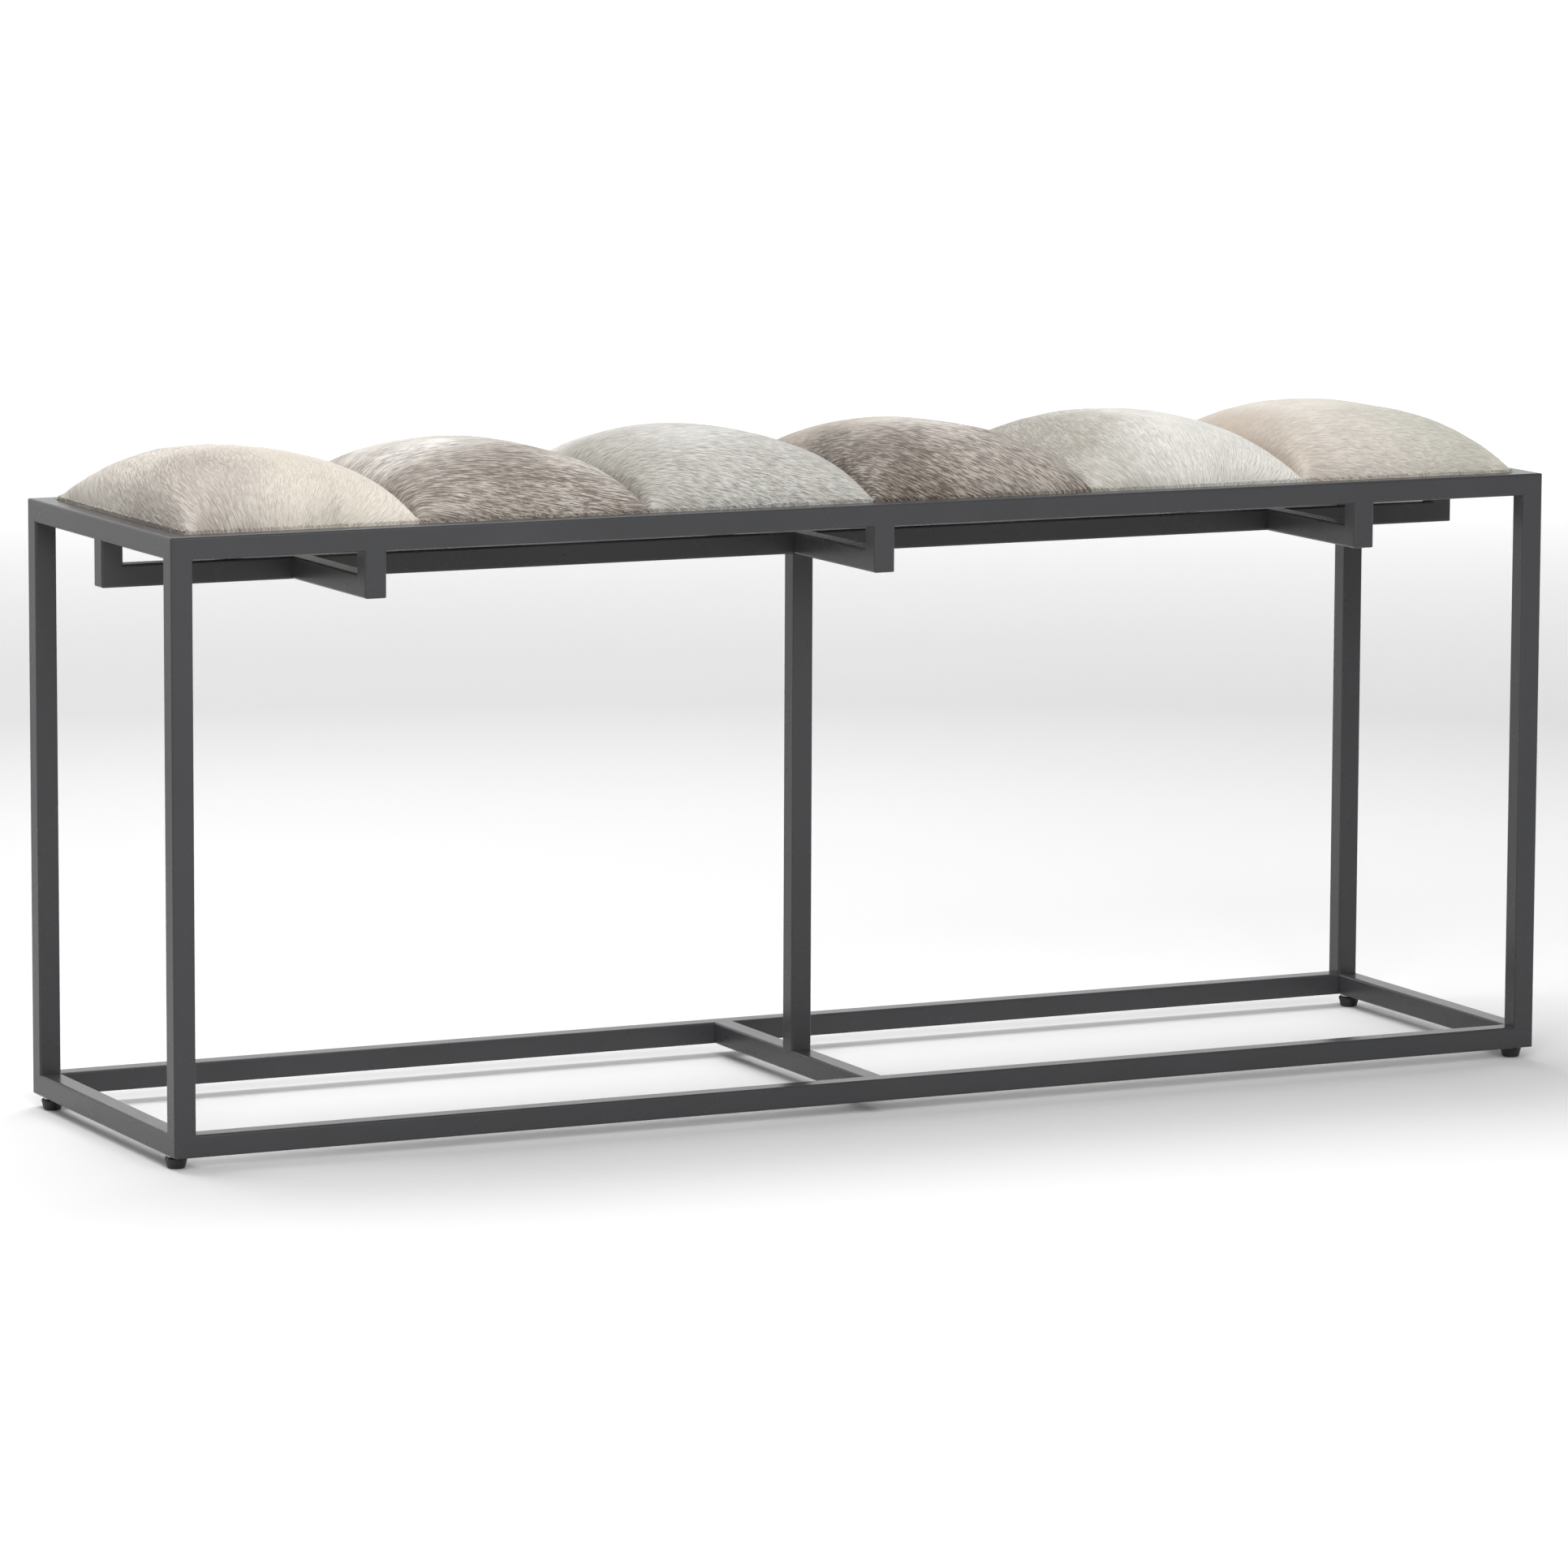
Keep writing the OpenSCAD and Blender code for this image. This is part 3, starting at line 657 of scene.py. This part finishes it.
def tuft(root, tip, width, bend):
    """Points and faces of one closed tuft that tapers from its root to its tip."""
    axis = (tip - root).normalized()
    side = axis.cross(Vector((0, 0, 1)))
    side = side.normalized() if side.length > 1e-6 else Vector((1, 0, 0))
    rise = side.cross(axis).normalized()
    middle = root.lerp(tip, 0.55) + Vector((0, 0, bend))
    points = []
    for centre, half in ((root, width / 2), (middle, width / 2.6)):
        points += [centre + side * half, centre + rise * half, centre - side * half, centre - rise * half]
    points.append(tip)
    faces = [(0, 1, 2, 3)]
    for i in range(4):
        j = (i + 1) % 4
        faces.append((j, i, 4 + i, 4 + j))
        faces.append((4 + j, 4 + i, 8))
    return points, faces


def fringe(pad):
    """Hair that lies over the rails along the pad's free edges, and over the seams' ends."""
    chance = random.Random(pad.number)
    half_x, half_y = pad.width / 2, pad.length / 2
    edges = [((1, 0), (0, -1), half_x, half_y), ((1, 0), (0, 1), half_x, half_y)]
    if pad.number == 1:
        edges.append(((0, 1), (-1, 0), half_y, half_x))
    if pad.number == PAD_COUNT:
        edges.append(((0, 1), (1, 0), half_y, half_x))
    points, faces = [], []
    for along, out, half_run, half_out in edges:
        along, out = Vector((*along, 0)), Vector((*out, 0))
        run = -half_run + END_MARGIN * MM
        while run < half_run - END_MARGIN * MM:
            lean = chance.uniform(*TIP_LEAN) * MM
            reach = chance.uniform(*TIP_REACH) * MM
            place = Vector((pad.middle, 0, 0)) + along * run
            root = place + out * (half_out - ROOT_INSET * MM)
            root += Vector((0, 0, RAIL_TOP + chance.uniform(*ROOT_RISE) * MM))
            tip = place + along * lean + out * (half_out + reach)
            tip.z = RAIL_TOP + chance.uniform(*TIP_RISE) * MM
            tip.x = min(max(tip.x, pad.middle - half_x), pad.middle + half_x) if out.x == 0 else tip.x
            made, shape = tuft(root, tip, chance.uniform(*TUFT_WIDTH) * MM, TUFT_BEND * MM)
            faces += [tuple(index + len(points) for index in face) for face in shape]
            points += made
            run += chance.uniform(*TUFT_SPACING) * MM
    return points, faces


def add_shells(obj, points, faces):
    """Adds closed shells to an object's mesh."""
    shells = bpy.data.meshes.new("shells")
    shells.from_pydata([tuple(p) for p in points], [], faces)
    joined = bmesh.new()
    joined.from_mesh(obj.data)
    joined.from_mesh(shells)
    joined.to_mesh(obj.data)
    joined.free()
    bpy.data.meshes.remove(shells)


def hide_cover(pad):
    """One hide: swollen by simulation, refined, given its relief and then its thickness."""
    points, faces, held = skin_mesh(pad)
    cover = new_object(f"hide_cover_{pad.number}", points, faces)
    swell(cover, held)
    refine = cover.modifiers.new("refine", "SUBSURF")
    refine.subdivision_type = "CATMULL_CLARK"
    refine.levels = refine.render_levels = 1
    applied(cover)
    tuft_relief(cover, pad)
    shell = cover.modifiers.new("shell", "SOLIDIFY")
    shell.thickness = HIDE_THICK
    shell.offset = -1.0
    shell.use_rim = True
    shell.material_offset = 1
    shell.material_offset_rim = 1
    cover.data.materials.append(hide_material(pad))
    cover.data.materials.append(flesh)
    applied(cover)
    add_shells(cover, *fringe(pad))
    smooth(cover)
    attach(cover, "frame")
    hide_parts(f"pad_cover_{pad.number}")


def foam_core(pad):
    """The foam under a hide: the same dome, a little smaller, on the board."""
    rows = dome_grid(pad, FOAM_INSET, RAIL_TOP + EDGE_RISE, FOAM_DROP)
    points, faces, rim = dome_mesh(rows)
    lower = list(range(len(points), len(points) + len(rim)))
    points += [(points[i][0], points[i][1], BOARD_TOP) for i in rim]
    faces += side_faces(rim, lower)
    faces.append(tuple(reversed(lower)))
    core = new_object(f"foam_core_{pad.number}", points, faces)
    core.data.materials.append(foam)
    smooth(core)
    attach(core, "frame")
    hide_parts(f"pad_foam_{pad.number}")


# ---------------------------------------------------------------- put it together

steel = steel_material()
zinc = zinc_material()
nylon = nylon_material()
plywood = plywood_material()
foam = foam_material()
flesh = skin_material()

SLOT_MATERIALS = {"steel": steel, "fasteners": zinc, "glide": nylon, "plywood": plywood, "foam": foam}
for part in frame["record"]["subparts"]:
    finish = SLOT_MATERIALS.get(part["material_slot"])
    node = frame["nodes"][part["node"]]
    if finish is not None:
        node.data.materials.clear()
        node.data.materials.append(finish)

for number in PAD_NUMBERS:
    pad = Pad(number)
    hide_cover(pad)
    foam_core(pad)


# ---------------------------------------------------------------- floor, light and camera


COVE_STEPS = 16


def studio_cove():
    """Floor that curves up into a wall behind the bench; its far part glows so that it stays white."""
    half, turn, radius, top = 14.0, 4.5, 2.0, 6.0
    line = [(-half, 0.0), (turn, 0.0)]
    for step in range(1, COVE_STEPS + 1):
        angle = step / COVE_STEPS * math.pi / 2
        line.append((turn + radius * math.sin(angle), radius * (1 - math.cos(angle))))
    line.append((turn + radius, top))
    points = [(side * half, y, z) for y, z in line for side in (-1, 1)]
    faces = [(2 * i, 2 * i + 1, 2 * i + 3, 2 * i + 2) for i in range(len(line) - 1)]
    cove = new_object("studio_cove", points, faces)
    material, tree, shader, place = principled("pale_cove")
    t = Tree(tree)
    cloud = t.noise(place, 0.8, 2.0)
    shade = t.mix(t.remap(cloud, 0.3, 0.7, 0.0, 1.0), (0.87, 0.87, 0.87), (0.89, 0.89, 0.89))
    t.link(shade, shader.inputs["Base Color"])
    shader.inputs["Roughness"].default_value = 0.9
    shader.inputs["Specular IOR Level"].default_value = 0.1
    shader.inputs["Emission Color"].default_value = (1.0, 1.0, 1.0, 1.0)
    away = t.math("SQRT", t.dot(place, place))
    t.link(t.remap(away, 2.4, 5.2, 0.0, 0.62), shader.inputs["Emission Strength"])
    cove.data.materials.append(material)
    smooth(cove)


def soft_light(name, place, size, power, target=(0.0, 0.0, 0.35)):
    data = bpy.data.lights.new(name, "AREA")
    data.shape = "RECTANGLE"
    data.size, data.size_y = size
    data.energy = power
    lamp = bpy.data.objects.new(name, data)
    lamp.location = place
    aim = Vector(target) - Vector(place)
    lamp.rotation_mode = "QUATERNION"
    lamp.rotation_quaternion = aim.to_track_quat("-Z", "Y")
    bpy.context.scene.collection.objects.link(lamp)


def world_light(strength):
    world = bpy.data.worlds.new("studio")
    world.use_nodes = True
    background = world.node_tree.nodes["Background"]
    background.inputs["Color"].default_value = (1.0, 1.0, 1.0, 1.0)
    background.inputs["Strength"].default_value = strength
    bpy.context.scene.world = world


def photo_camera():
    data = bpy.data.cameras.new("camera")
    data.sensor_width = 36.0
    data.lens = CAMERA_LENS
    data.clip_end = 100.0
    camera = bpy.data.objects.new("camera", data)
    azimuth, elevation = math.radians(CAMERA_AZIMUTH), math.radians(CAMERA_ELEVATION)
    back = Vector((
        math.sin(azimuth) * math.cos(elevation),
        -math.cos(azimuth) * math.cos(elevation),
        math.sin(elevation),
    ))
    facing = (-back).to_track_quat("-Z", "Y").to_matrix()
    camera.location = CAMERA_PLACE
    camera.rotation_mode = "QUATERNION"
    camera.rotation_quaternion = (facing @ Matrix.Rotation(math.radians(CAMERA_ROLL), 3, "Z")).to_quaternion()
    bpy.context.scene.collection.objects.link(camera)
    bpy.context.scene.camera = camera


bpy.context.scene.view_settings.view_transform = "Standard"
studio_cove()
world_light(0.28)
soft_light("key", (-1.3, -3.1, 2.4), (2.0, 1.8), 70.0)
soft_light("front", (0.2, -3.6, 1.8), (2.2, 1.2), 34.0)
soft_light("top", (-0.3, 0.9, 2.6), (2.8, 1.4), 58.0)
photo_camera()
